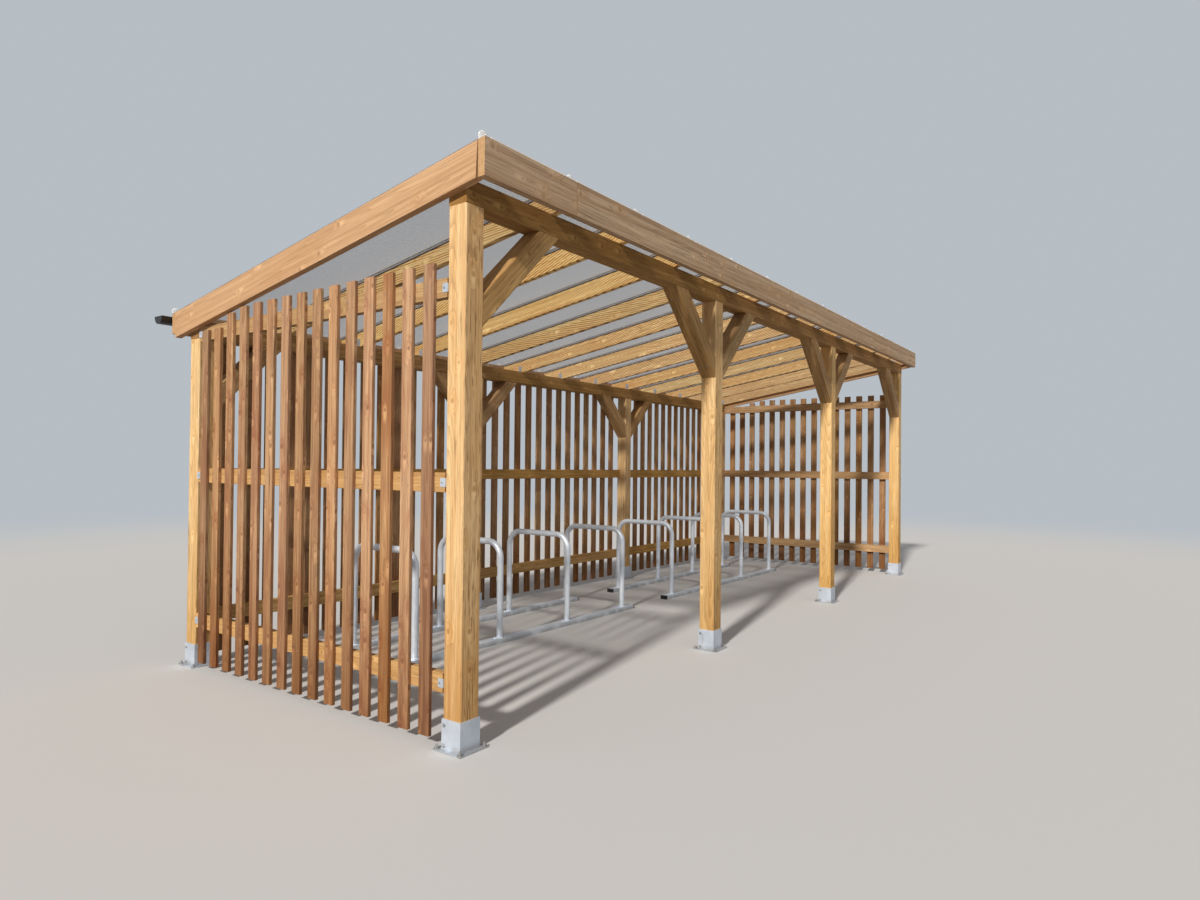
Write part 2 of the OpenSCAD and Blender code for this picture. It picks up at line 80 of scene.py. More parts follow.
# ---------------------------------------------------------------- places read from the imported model

post_low, post_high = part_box("front_post_1")
POST_W = post_high.x - post_low.x
FRONT_Y = (post_low.y + post_high.y) / 2
REAR_Y = sum(v.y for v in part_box("rear_post_1")) / 2
POST_X = [sum(v.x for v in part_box(f"front_post_{i + 1}")) / 2 for i in range(BAYS + 1)]
BAY = POST_X[1] - POST_X[0]
FRONT_CLEAR = post_high.z
REAR_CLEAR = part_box("rear_post_1")[1].z
BAR_STEP = (POST_X[-1] - POST_X[0] + POST_W) / (BAYS * RAFTERS_PER_BAY)
BAR_X = [post_low.x + i * BAR_STEP for i in range(BAYS * RAFTERS_PER_BAY + 1)]
# The first and the last rafter lie inside the line of their glazing bar
RAFTER_X = [BAR_X[0] + RAFTER_W / 2] + BAR_X[1:-1] + [BAR_X[-1] - RAFTER_W / 2]
RAIL_Z = [sum(v.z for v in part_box(f"near_{level}_rail")) / 2 for level in ("bottom", "mid", "top")]


def slat_places(node, axis, count):
    """Middle of each slat of a row, along axis 0 (X) or 1 (Y)."""
    low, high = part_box(node)
    step = (high[axis] - low[axis] - SLAT_W) / (count - 1)
    return [low[axis] + SLAT_W / 2 + i * step for i in range(count)]


def inner_sides(places):
    """Each place with each side of it, -1 or 1, on which it has a neighbour."""
    outer = ((0, -1), (len(places) - 1, 1))
    return [(x, side) for i, x in enumerate(places) for side in (-1, 1) if (i, side) not in outer]


# ---------------------------------------------------------------- colours and shader nodes

def srgb(r, g, b):
    """Linear colour of an 8-bit screen colour."""
    def linear(v):
        v /= 255
        return v / 12.92 if v <= 0.04045 else ((v + 0.055) / 1.055) ** 2.4
    return (linear(r), linear(g), linear(b), 1.0)


def shaded(color, factor):
    """A linear colour, made lighter or darker."""
    return tuple(factor * c for c in color[:3]) + (1.0,)


class Graph:
    """The shader nodes of one material, with short calls for the kinds used here. Values may be sockets."""

    def __init__(self, name):
        self.material = bpy.data.materials.new(name)
        self.material.use_nodes = True
        self.tree = self.material.node_tree
        self.shader = self.tree.nodes["Principled BSDF"]
        coordinates = self.new("ShaderNodeTexCoord")
        self.place = coordinates.outputs["Object"]
        self.normal = coordinates.outputs["Normal"]

    def new(self, kind, **settings):
        node = self.tree.nodes.new(kind)
        for key, value in settings.items():
            setattr(node, key, value)
        return node

    def put(self, socket, value):
        if isinstance(value, bpy.types.NodeSocket):
            self.tree.links.new(value, socket)
        else:
            socket.default_value = value

    def filled(self, kind, values, **settings):
        """A new node with its first inputs set to values."""
        node = self.new(kind, **settings)
        for socket, value in zip(node.inputs, values):
            self.put(socket, value)
        return node

    def math(self, operation, *values):
        return self.filled("ShaderNodeMath", values, operation=operation).outputs[0]

    def times(self, *values):
        product = values[0]
        for value in values[1:]:
            product = self.math("MULTIPLY", product, value)
        return product

    def line(self, value, slope, start):
        """value times slope, plus start."""
        return self.math("MULTIPLY_ADD", value, slope, start)

    def gap(self, value, middle):
        """How far value is from middle."""
        return self.math("ABSOLUTE", self.math("SUBTRACT", value, middle))

    def ramp(self, value, low, high):
        """0 below low, 1 above high, and smooth between them; low may be the larger one."""
        node = self.new("ShaderNodeMapRange", interpolation_type="SMOOTHSTEP")
        self.put(node.inputs["Value"], value)
        node.inputs["From Min"].default_value = min(low, high)
        node.inputs["From Max"].default_value = max(low, high)
        if low > high:
            node.inputs["To Min"].default_value = 1.0
            node.inputs["To Max"].default_value = 0.0
        return node.outputs["Result"]

    def mix(self, factor, a, b, blend="MIX"):
        node = self.new("ShaderNodeMix", data_type="RGBA", blend_type=blend)
        self.put(node.inputs["Factor"], factor)
        self.put(node.inputs["A"], a)
        self.put(node.inputs["B"], b)
        return node.outputs["Result"]

    def split(self, color):
        """The red, green and blue of a colour."""
        return self.filled("ShaderNodeSeparateColor", (color,)).outputs

    def dot(self, vector, axis):
        return self.filled("ShaderNodeVectorMath", (vector, axis), operation="DOT_PRODUCT").outputs["Value"]

    def length(self, vector):
        return self.filled("ShaderNodeVectorMath", (vector,), operation="LENGTH").outputs["Value"]

    def combine(self, x, y, z):
        return self.filled("ShaderNodeCombineXYZ", (x, y, z)).outputs[0]

    def scaled(self, vector, scale, add=(0, 0, 0)):
        node = self.filled("ShaderNodeVectorMath", (vector, scale, add), operation="MULTIPLY_ADD")
        return node.outputs["Vector"]

    def noise(self, vector, scale=1.0, detail=2.0, roughness=0.5):
        node = self.new("ShaderNodeTexNoise")
        self.put(node.inputs["Vector"], vector)
        node.inputs["Scale"].default_value = scale
        node.inputs["Detail"].default_value = detail
        node.inputs["Roughness"].default_value = roughness
        return node.outputs["Fac"]

    def drawn_noise(self, vector, across, along, **settings):
        """Noise with one rate per metre across the vector's third direction and another along it."""
        return self.noise(self.scaled(vector, (across, across, along)), **settings)

    def cells(self, vector, scale, dimensions="3D"):
        node = self.new("ShaderNodeTexVoronoi", voronoi_dimensions=dimensions)
        self.put(node.inputs["Vector"], vector)
        node.inputs["Scale"].default_value = scale
        return node

    def bump(self, height, strength, distance):
        node = self.new("ShaderNodeBump")
        self.put(node.inputs["Height"], height)
        node.inputs["Strength"].default_value = strength
        node.inputs["Distance"].default_value = distance
        self.put(self.shader.inputs["Normal"], node.outputs["Normal"])

    def surface(self, color, roughness, **constants):
        self.put(self.shader.inputs["Base Color"], color)
        self.put(self.shader.inputs["Roughness"], roughness)
        for key, value in constants.items():
            self.put(self.shader.inputs[key.replace("_", " ")], value)
        return self.material


# ---------------------------------------------------------------- wood

X, Y, Z = (1, 0, 0), (0, 1, 0), (0, 0, 1)
TO_FRONT = (0, -1, 0)
ROOT_HALF = math.sqrt(0.5)

# A grain is the direction along the board and the two directions across it
ALONG_X = (X, Y, Z)
ALONG_Y = (Y, X, Z)
ALONG_Z = (Z, X, Y)
SLOPE = (
    (0, math.cos(ROOF_PITCH), -math.sin(ROOF_PITCH)),
    X,
    (0, math.sin(ROOF_PITCH), math.cos(ROOF_PITCH)),
)
DIAGONAL = ((ROOT_HALF, 0, ROOT_HALF), Y, (ROOT_HALF, 0, -ROOT_HALF))

ONE_BOARD = ((0, 0, 0), 1.0, 0.0)
KNOTS_PER_METRE = 9.0       # places for a knot across a face; along the board they lie twice as far apart
KNOT_CHANCE = 0.75          # share of the places that have a knot where knots is 1
# Painted shadow: stripes that the roof sheets' ribs cast on the rafters' sides, per metre
RIB_SHADOW_STRIPES_PER_METRE = 62.0
RING_STRENGTH = 0.40

# Light, middle, dark and heartwood screen colours
POST_TONES = ((248, 212, 156), (230, 186, 126), (150, 108, 66), (218, 162, 92))
BEAM_TONES = ((190, 150, 96), (166, 126, 74), (100, 70, 38), (146, 102, 54))
BRACE_TONES = ((204, 166, 114), (178, 138, 90), (108, 78, 46), (158, 114, 68))
# The rafters' tones are lighter than their wood: painted light, standing in for sunlight through the roof
# sheets
RAFTER_TONES = ((255, 226, 164), (255, 214, 148), (164, 112, 60), (240, 184, 116))
LONG_FASCIA_TONES = ((214, 184, 150), (188, 154, 120), (122, 92, 68), (200, 154, 98))
END_FASCIA_TONES = ((218, 178, 134), (200, 158, 114), (150, 110, 74), (190, 142, 96))
REAR_RAIL_TONES = ((212, 170, 106), (188, 144, 80), (126, 88, 44), (178, 130, 68))
END_RAIL_TONES = ((214, 174, 122), (192, 150, 102), (132, 94, 58), (180, 134, 84))
NEAR_SLAT_TONES = ((206, 162, 118), (174, 128, 90), (106, 70, 46), (154, 98, 64))
# The far and rear slats' tones are darker and more golden than the near slats': painted shade and painted
# bounce light
SHADED_SLAT_TONES = ((198, 156, 108), (170, 128, 84), (104, 72, 44), (148, 100, 60))
POST_DAMP = (0.74, 0.65, 0.50, 1.0)
SLAT_DAMP = (0.58, 0.46, 0.34, 1.0)


def wood(name, tones, grain, index=ONE_BOARD, halves=(0, 0, 0), seed=0.0, fold=None, stretch=0.36,
         variety=0.10, hue=0.004, knots=1.0, heart=0.28, cracks=0.5, dashes=0.42, lines=0.0, damp=None):
    """Sawn softwood.

    index    (axis, step, start): boards are numbered by their place along axis, and each number gets its own
             shade and figure
    halves   the direction in which a second row of boards starts at 0
    seed     picks other shades and figures
    fold     (start, step) for mirrored_place, so that both braces of a post have their grain along the brace
    stretch  the figure's rate along the board
    variety  how far a board's brightness strays, and hue how far its hue does
    knots    how many of the places have a knot
    heart    strength of the red heartwood, as cracks is of the drying cracks, dashes of the short dark marks
         of weathering, and lines of the painted shadow stripes that the roof sheets' ribs cast
    damp     the colour that darkens the foot
    """
    g = Graph(name)
    light, middle, dark, red = (srgb(*tone) for tone in tones)
    chance, chances = board_chances(g, index, halves, seed)
    place = mirrored_place(g, *fold) if fold else g.place
    along, across, depth = (g.dot(place, direction) for direction in grain)
    board = g.scaled(chances, (23.0, 19.0, 29.0), g.combine(across, depth, along))
    near_knot, core, rim, pale, ruddy = knot_marks(g, board, grain, knots, heart)

    # Year rings, planer fibre, dark streaks, weathering, heartwood and drying cracks. Noise rates are per
    # metre, across and along the board; the other numbers are shares and thresholds.
    figure = g.drawn_noise(board, 6.0, stretch, detail=1.6, roughness=0.45)
    figure = g.line(near_knot, 0.06, figure)
    ring = g.math("POWER", g.math("FRACT", g.times(figure, 36.0)), 2.2)
    fibre = g.drawn_noise(board, 190.0, 3.4, detail=3.0, roughness=0.6)
    streak = g.drawn_noise(board, 48.0, 0.8)
    dash = g.ramp(g.drawn_noise(board, 150.0, 9.0, detail=1.0), 0.58, 0.68)
    patch = g.ramp(g.drawn_noise(board, 5.0, 1.3), 0.50, 0.72)
    cleft = g.gap(g.drawn_noise(board, 26.0, 0.55, detail=1.0), 0.5)
    cracked = g.ramp(g.drawn_noise(board, 9.0, 1.6, detail=1.0), 0.54, 0.66)
    crack = g.times(g.ramp(cleft, 0.011, 0.002), cracked, cracks)

    color = g.mix(g.ramp(streak, 0.32, 0.66), light, middle)
    color = g.mix(g.times(patch, heart), color, red)
    color = g.mix(g.times(ring, RING_STRENGTH), color, dark)
    color = g.mix(g.times(g.ramp(fibre, 0.48, 0.76), 0.50), color, dark)
    # The open front weathers most
    weathered = g.line(g.ramp(g.dot(g.normal, TO_FRONT), 0.5, 0.9), 0.60, 0.40)
    color = g.mix(g.times(dash, g.times(dashes, weathered)), color, dark)
    color = g.mix(ruddy, color, red)
    # Painted shadow stripes that the roof sheets' ribs cast on the board's side
    if lines:
        color = g.mix(g.times(rib_shadow_stripes(g, along, depth, figure, streak, chance), lines), color, dark)
    color = g.mix(pale, color, shaded(light, 1.12))
    color = g.mix(g.times(rim, 0.45), color, dark)
    color = g.mix(g.times(core, 0.70), color, shaded(red, 0.66))
    color = g.mix(g.times(crack, 0.80), color, shaded(dark, 0.30))
    if damp:
        ragged = g.line(g.drawn_noise(board, 20.0, 2.0), 0.5, g.dot(g.place, Z))
        color = g.mix(g.ramp(ragged, 1.50, 0.25), color, damp, "MULTIPLY")
    if not fold:
        end_grain = g.ramp(g.math("ABSOLUTE", g.dot(g.normal, grain[0])), 0.80, 0.92)
        color = g.mix(g.times(end_grain, 0.60), color, red)
    color = board_shade(g, color, chance, chances, variety, hue)

    relief = g.line(fibre, 0.5, g.times(ring, 0.18))
    relief = g.math("SUBTRACT", relief, g.times(crack, 1.1))
    relief = g.line(core, 0.35, relief)
    g.bump(relief, 0.55, 0.0022)
    return g.surface(color, g.line(fibre, 0.22, 0.62), Specular_IOR_Level=0.28)


def board_chances(g, index, halves, seed):
    """One random number, and three more as a colour, that are the same all over a board."""
    axis, step, start = index
    number = g.math("FLOOR", g.math("DIVIDE", g.math("SUBTRACT", g.dot(g.place, axis), start), step))
    second_row = g.math("GREATER_THAN", g.dot(g.place, halves), 0.0)
    number = g.line(second_row, 31.0, number)
    dice = g.new("ShaderNodeTexWhiteNoise", noise_dimensions="1D")
    g.put(dice.inputs["W"], g.math("ADD", number, seed))
    return dice.outputs["Value"], dice.outputs["Color"]


def mirrored_place(g, start, step):
    """The place with X mirrored at start and at every half step from there."""
    x, y, z = g.filled("ShaderNodeSeparateXYZ", (g.place,)).outputs
    reach = g.math("PINGPONG", g.math("SUBTRACT", x, start), step / 2)
    return g.combine(reach, y, z)


def knot_marks(g, board, grain, knots, heart):
    """Where the rings bend near a knot, its core, its rim, and the pale burst and red patch round it."""
    # The board's face, laid flat: narrow and broad faces have cells of their own, each with place for a knot
    side = g.math("GREATER_THAN", g.math("ABSOLUTE", g.dot(g.normal, grain[1])), 0.7)
    face = g.combine(g.math("SUBTRACT", 1.0, side), side, 0.0)
    level = g.combine(g.dot(board, face), g.times(g.dot(board, Z), 0.5), 0.0)
    level = g.scaled(side, (3.7, 0.0, 0.0), level)
    cell = g.cells(level, KNOTS_PER_METRE, "2D")
    width, luck, kind = g.split(cell.outputs["Color"])
    offset = g.scaled(cell.outputs["Position"], (-1.0, -1.0, 0.0), level)
    share = KNOT_CHANCE * knots
    present = g.ramp(luck, 1.0 - share, 1.08 - share)
    size = g.line(width, 0.010, 0.0045)
    knot = g.math("DIVIDE", g.length(g.scaled(offset, (1.0, 1.7, 0.0))), size)
    near_knot = g.times(g.ramp(g.length(offset), 0.046, 0.004), present)
    core = g.times(g.ramp(knot, 1.0, 0.65), present)
    rim = g.times(g.ramp(g.gap(knot, 1.05), 0.25, 0.05), present)
    burst = g.ramp(g.length(g.scaled(offset, (1.0, 0.66, 0.0), (0, 0.006, 0))), 0.024, 0.004)
    pale = g.times(burst, g.line(kind, 0.65, 0.30), present)
    flush = g.ramp(g.length(g.scaled(offset, (0.8, 0.95, 0.0))), 0.046, 0.004)
    ruddy = g.times(flush, g.line(kind, -0.8, 1.0), present, 0.25 + heart)
    return near_knot, core, rim, pale, ruddy


def rib_shadow_stripes(g, along, depth, figure, streak, chance):
    """Painted shadow stripes that the roof sheets' ribs cast across the board's side, which lean by a
    different amount on each board.
    """
    lean = g.line(chance, 26.0, -8.0)
    marks = g.line(depth, RIB_SHADOW_STRIPES_PER_METRE, g.times(along, lean))
    marks = g.line(figure, 3.0, marks)
    stripe = g.gap(g.math("FRACT", marks), 0.5)
    return g.times(g.ramp(stripe, 0.22, 0.42), g.ramp(streak, 0.22, 0.50))


def board_shade(g, color, chance, chances, variety, hue):
    """The colour with a board's own brightness, hue and saturation."""
    _, hue_chance, saturation_chance = g.split(chances)
    node = g.new("ShaderNodeHueSaturation")
    g.put(node.inputs["Color"], color)
    g.put(node.inputs["Value"], g.line(chance, 2 * variety, 1 - variety))
    g.put(node.inputs["Hue"], g.line(hue_chance, 2 * hue, 0.5 - hue))
    g.put(node.inputs["Saturation"], g.line(saturation_chance, 0.12, 0.93))
    return node.outputs["Color"]


def dress(material, *nodes):
    """Gives CAD nodes a material in place of their plain one."""
    for name in nodes:
        mesh = frame["nodes"][name].data
        mesh.materials.clear()
        mesh.materials.append(material)


def dress_timber():
    """Wood for every timber node, with each board's grain along it."""
    posts = [f"{row}_post_{i + 1}" for row in ("front", "rear") for i in range(BAYS + 1)]
    dress(wood("post_wood", POST_TONES, ALONG_Z, (X, BAY, POST_X[0] - BAY / 2), Y, variety=0.04, knots=0.5,
               cracks=0.9, dashes=0.72, damp=POST_DAMP), *posts)
    for end, seed in (("near", 3.0), ("far", 8.0)):
        beam = wood(f"beam_wood_{end}", BEAM_TONES, ALONG_X, halves=Y, seed=seed, variety=0.04, knots=0.6)
        dress(beam, f"front_beam_{end}", f"rear_beam_{end}")
    dress(wood("brace_wood", BRACE_TONES, DIAGONAL, (X, BAY / 2, POST_X[0] - BAY), Y, fold=(POST_X[0], BAY),
               variety=0.07, knots=0.5, cracks=1.0), "front_braces", "rear_braces")
    # The rafters' lines are painted shadow stripes of the roof sheets' ribs
    dress(wood("rafter_wood", RAFTER_TONES, SLOPE, (X, BAR_STEP, BAR_X[0] - BAR_STEP / 2), variety=0.11,
               hue=0.007, knots=0.5, lines=0.95), "rafters")
    for name, seed in (("front_fascia_short", 5.0), ("front_fascia_long", 14.0), ("rear_fascia", 21.0)):
        dress(wood(f"{name}_wood", LONG_FASCIA_TONES, ALONG_X, seed=seed, stretch=0.16, variety=0.04,
                   knots=0.7, cracks=0.8, dashes=0.25), name)
    dress(wood("end_fascia_wood", END_FASCIA_TONES, SLOPE, halves=X, stretch=0.20, variety=0.05, knots=0.35,
               cracks=0.3, dashes=0.25), "near_fascia", "far_fascia")
    end_rails = [f"{end}_{level}_rail" for end in ("near", "far") for level in ("bottom", "mid", "top")]
    dress(wood("end_rail_wood", END_RAIL_TONES, ALONG_Y, (Z, 1.0, 0.0), X, seed=2.0, knots=0.7), *end_rails)
    for name, node, seed in (("rear_rail_wood", "rear_bottom_rails", 6.0),
                             ("rear_mid_rail_wood", "rear_mid_rails", 9.5)):
        dress(wood(name, REAR_RAIL_TONES, ALONG_X, (X, BAY, POST_X[0]), seed=seed), node)
    dress_slats("near_slats", NEAR_SLAT_TONES, 1, END_SLATS, 670.25, 0.19)
    dress_slats("far_slats", SHADED_SLAT_TONES, 1, END_SLATS, 23.0, 0.19)
    for i in range(BAYS):
        dress_slats(f"rear_slats_{i + 1}", SHADED_SLAT_TONES, 0, REAR_SLATS, 40.0 + 17 * i, 0.13)


def dress_slats(name, tones, axis, count, seed, variety):
    """Wood for a row of slats along axis 0 (X) or 1 (Y), each slat a board of its own."""
    places = slat_places(name, axis, count)
    step = places[1] - places[0]
    index = ((X, Y)[axis], step, places[0] - step / 2)
    dress(wood(f"{name}_wood", tones, ALONG_Z, index, seed=seed, variety=variety, knots=1.2, heart=0.7,
               damp=SLAT_DAMP), name)


# ---------------------------------------------------------------- steel, sheet, plastic and rubber

RIBS_PER_METRE = 62.5


def galvanised(name, pale, dull, metallic, grain=95.0, blotches=0.30):
    """Hot-dip zinc: matt, pale, with a soft spangle, a little dirt in patches and dust near the ground."""
    g = Graph(name)
    spangle, gloss, _ = g.split(g.cells(g.place, grain).outputs["Color"])
    cloud = g.noise(g.place, scale=7.0, detail=3.0)
    color = g.mix(g.ramp(cloud, 0.35, 0.70), srgb(*pale), srgb(*dull))
    color = g.mix(g.times(spangle, blotches), color, srgb(*dull))
    stain = g.ramp(g.drawn_noise(g.place, 16.0, 5.0), 0.62, 0.80)
    color = g.mix(g.times(stain, blotches), color, srgb(126, 128, 130))
    dust = g.times(g.ramp(g.dot(g.place, Z), 0.045, 0.004), g.ramp(cloud, 0.25, 0.55))
    color = g.mix(g.times(dust, 0.55), color, srgb(150, 144, 136))
    g.bump(g.noise(g.place, scale=220.0), 0.12, 0.0008)
    return g.surface(color, g.line(gloss, 0.16, 0.36), Metallic=metallic)


def clear_sheet(name):
    """Multiwall sheet: hazy and see-through, with ribs along the fall."""
    g = Graph(name)
    rib = g.gap(g.math("FRACT", g.times(g.dot(g.place, X), RIBS_PER_METRE)), 0.5)
    web = g.ramp(rib, 0.10, 0.04)
    cloud = g.noise(g.place, scale=1.6, detail=3.0)
    color = g.mix(g.ramp(cloud, 0.35, 0.70), srgb(206, 203, 200), srgb(188, 186, 184))
    color = g.mix(g.times(web, 0.45), color, srgb(226, 226, 228))
    g.bump(web, 0.25, 0.001)
    return g.surface(color, 0.28, Alpha=g.line(web, 0.12, 0.25), Specular_IOR_Level=0.45)


def clear_bar(name):
    """The glazing bars' smooth translucent plastic, with haze drawn out along the fall."""
    g = Graph(name)
    cloud = g.noise(g.scaled(g.place, (9.0, 1.2, 9.0)), detail=3.0)
    color = g.mix(g.ramp(cloud, 0.35, 0.70), srgb(214, 214, 220), srgb(192, 192, 198))
    g.bump(g.noise(g.place, scale=30.0), 0.05, 0.0006)
    return g.surface(color, 0.22, Alpha=0.40, Specular_IOR_Level=0.5)


def plastic(name, tone, dusty, roughness, **constants):
    """Moulded plastic, with a film of dust in patches."""
    g = Graph(name)
    dust = g.ramp(g.drawn_noise(g.place, 3.0, 9.0, detail=4.0), 0.45, 0.75)
    color = g.mix(g.times(dust, 0.5), srgb(*tone), srgb(*dusty))
    g.bump(g.noise(g.place, scale=60.0), 0.05, 0.0006)
    return g.surface(color, g.line(dust, 0.15, roughness), **constants)


def rubber(name):
    """Black rubber, finely speckled."""
    g = Graph(name)
    speck = g.noise(g.place, scale=140.0)
    color = g.mix(g.ramp(speck, 0.4, 0.7), srgb(46, 46, 48), srgb(70, 70, 72))
    return g.surface(color, 0.75)


# ---------------------------------------------------------------- pieces

def add_piece(name, mesh, material):
    """Turns a bmesh into a piece that rides with the shelter."""
    data = bpy.data.meshes.new(name)
    mesh.to_mesh(data)
    mesh.free()
    data.materials.append(material)
    piece = bpy.data.objects.new(name, data)
    bpy.context.scene.collection.objects.link(piece)
    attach(piece, "root")


def close_loops(mesh, loops):
    """Faces between each loop of vertices and the next one, and over the first and the last loop."""
    for lower, upper in zip(loops, loops[1:]):
        for k in range(len(lower)):
            following = (k + 1) % len(lower)
            mesh.faces.new((lower[k], lower[following], upper[following], upper[k]))
    mesh.faces.new(loops[-1])
    mesh.faces.new(list(reversed(loops[0])))


class Heads:
    """Many small turned heads in one piece. A head is a list of (sides, rings), a ring (radius, height)."""

    def __init__(self, name):
        self.name = name
        self.mesh = bmesh.new()

    def add(self, place, normal, head):
        """A head at place, turned about its normal by a random angle."""
        turn = Vector(Z).rotation_difference(Vector(normal)).to_matrix().to_4x4()
        spin = Matrix.Rotation(random.uniform(0, math.pi), 4, "Z")
        matrix = Matrix.Translation(place) @ turn @ spin
        for sides, rings in head:
            close_loops(self.mesh, [self.loop(matrix, sides, *ring) for ring in rings])

    def loop(self, matrix, sides, radius, height):
        angles = [2 * math.pi * k / sides for k in range(sides)]
        return [self.mesh.verts.new(matrix @ Vector((radius * math.cos(a), radius * math.sin(a), height)))
                for a in angles]

    def done(self, material):
        add_piece(self.name, self.mesh, material)


# ---------------------------------------------------------------- nails, screws and bolts

NAIL = [(10, [(0.0042, -0.001), (0.0042, 0.0006), (0.0026, 0.0013), (0.0008, 0.0015)])]
PAN_SCREW = [(14, [(0.0062, -0.001), (0.0062, 0.0010), (0.0045, 0.0026), (0.0018, 0.0031)])]
# A washer and a hexagonal head; on an anchor the threaded end too
COACH_SCREW = [
    (20, [(0.0105, -0.001), (0.0105, 0.0012), (0.0092, 0.0018)]),
    (6, [(0.0073, 0.0015), (0.0075, 0.0058), (0.0062, 0.0068)]),
]
ANCHOR = [
    (22, [(0.0150, -0.001), (0.0150, 0.0018), (0.0136, 0.0025)]),
    (6, [(0.0104, 0.002), (0.0106, 0.0108), (0.0090, 0.0122)]),
    (14, [(0.0058, 0.010), (0.0058, 0.0205), (0.0046, 0.0220)]),
]
RACK_BOLT = [
    (20, [(0.0130, -0.001), (0.0130, 0.0018), (0.0118, 0.0024)]),
    (6, [(0.0092, 0.002), (0.0094, 0.0088), (0.0078, 0.0100)]),
]

BEAM_NAIL_UP = 0.045            # above the rear beam's underside
COACH_SCREW_Z = (0.022, 0.124)
COACH_SCREW_REAR = 0.049        # behind the post's middle
BRACKET_SCREW_OUT = 0.026       # from the post's side
CLIP_IN = 0.025                 # a clip's middle, from the inner face of its beam
CLIP_SCREW_UP = 0.030           # in the leg on the rafter, above the beam
CLIP_SCREW_OUT = 0.035          # in the leg on the beam, from the clip's face on the rafter
CLIP_SCREW_SPREAD = 0.010
BRACE_SCREW_SHARES = (0.13, 0.87)
BRACE_SCREW_SPREAD = 0.028


def slat_nails(material):
    """Two nails where each slat crosses a rail or the rear beam."""
    for end, side in (("near", -1), ("far", 1)):
        low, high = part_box(f"{end}_slats")
        face = low.x if side < 0 else high.x
        heads = Heads(f"{end}_slat_nails")
        for y in slat_places(f"{end}_slats", 1, END_SLATS):
            for z in RAIL_Z:
                for across, up in nail_pair():
                    heads.add((face, y + across, z + up), (side, 0, 0), NAIL)
        heads.done(material)
    heads = Heads("rear_slat_nails")
    rear_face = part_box("rear_slats_1")[1].y
    for i in range(BAYS):
        for x in slat_places(f"rear_slats_{i + 1}", 0, REAR_SLATS):
            for z in RAIL_Z[:2] + [REAR_CLEAR + BEAM_NAIL_UP]:
                for across, up in nail_pair():
                    heads.add((x + across, rear_face, z + up), Y, NAIL)
    heads.done(material)


def nail_pair():
    """How far across and up two nails are from the crossing's middle: on a diagonal, a little askew."""
    for side in (-1, 1):
        across = side * 0.020 + random.uniform(-0.004, 0.004)
        up = side * 0.016 + random.uniform(-0.007, 0.003)
        yield across, up


def shoe_fixings(material):
    """Coach screws near the rear edge of each shoe's side faces, and a nut on each ground anchor."""
    screws = Heads("shoe_screws")
    anchors = Heads("ground_anchors")
    wall = POST_W / 2 + SHOE_WALL
    for y in (FRONT_Y, REAR_Y):
        for x in POST_X:
            for side in (-1, 1):
                for z in COACH_SCREW_Z:
                    screws.add((x + side * wall, y + COACH_SCREW_REAR, z), (side, 0, 0), COACH_SCREW)
            for dx in (-HALF_ANCHORS, HALF_ANCHORS):
                for dy in (-HALF_ANCHORS, HALF_ANCHORS):
                    anchors.add((x + dx, y + dy, BASE_PLATE_T), Z, ANCHOR)
    screws.done(material)
    anchors.done(material)


def bracket_screws(material):
    """A screw in each rail bracket."""
    heads = Heads("rail_bracket_screws")
    reach = POST_W / 2 + BRACKET_SCREW_OUT
    face = POST_W / 2 + BRACKET_T
    for z in RAIL_Z:
        for side, x in ((-1, POST_X[0] - face), (1, POST_X[-1] + face)):
            for y in (FRONT_Y + reach, REAR_Y - reach):
                heads.add((x, y, z), (side, 0, 0), PAN_SCREW)
    for z in RAIL_Z[:2]:
        for i in range(BAYS):
            for x in (POST_X[i] + reach, POST_X[i + 1] - reach):
                heads.add((x, REAR_Y + face, z), Y, PAN_SCREW)
    heads.done(material)


def clip_screws(material):
    """Two screws in each leg of each rafter clip. The clips sit on the rafters' far sides at the front beam
    and on their near sides at the rear beam, but on the inner sides of the first and the last rafter."""
    heads = Heads("rafter_clip_screws")
    last = len(RAFTER_X) - 1
    for y, top, front in ((FRONT_Y + POST_W / 2 - CLIP_IN, FRONT_CLEAR + BEAM_H, True),
                          (REAR_Y - POST_W / 2 + CLIP_IN, REAR_CLEAR + BEAM_H, False)):
        for i, x in enumerate(RAFTER_X):
            side = 1 if i == 0 or front and i < last else -1
            face = x + side * (RAFTER_W / 2 + CLIP_T)
            for dy in (-CLIP_SCREW_SPREAD, CLIP_SCREW_SPREAD):
                heads.add((face, y + dy, top + CLIP_SCREW_UP + dy), (side, 0, 0), PAN_SCREW)
                heads.add((face + side * CLIP_SCREW_OUT, y + dy, top + CLIP_T), Z, PAN_SCREW)
    heads.done(material)


def brace_screws(material):
    """Two screws through each end of each brace, in its lower face."""
    heads = Heads("brace_screws")
    for y, clear, leg in ((FRONT_Y, FRONT_CLEAR, FRONT_BRACE_LEG), (REAR_Y, REAR_CLEAR, REAR_BRACE_LEG)):
        for x, side in inner_sides(POST_X):
            for share in BRACE_SCREW_SHARES:
                for dy in (-BRACE_SCREW_SPREAD, BRACE_SCREW_SPREAD):
                    place = (x + side * (POST_W / 2 + share * leg), y + dy, clear - (1 - share) * leg)
                    heads.add(place, (side * ROOT_HALF, 0, -ROOT_HALF), PAN_SCREW)
    heads.done(material)


# ---------------------------------------------------------------- racks

WELD_BUMPS = 26
WELD_OUT = 0.0022       # the bead's middle, from the tube's skin
RACK_BOLT_OUT = 0.056   # from the middle of the hoop's leg


def hoop_places():
    """X of every hoop, and Y of the front and rear legs."""
    places = []
    for rack in ("rack_1_hoops", "rack_2_hoops"):
        low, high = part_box(rack)
        step = (high.x - low.x - 2 * TUBE_R) / (HOOPS_PER_RACK - 1)
        places += [low.x + TUBE_R + i * step for i in range(HOOPS_PER_RACK)]
    return places, (low.y + TUBE_R, high.y - TUBE_R)


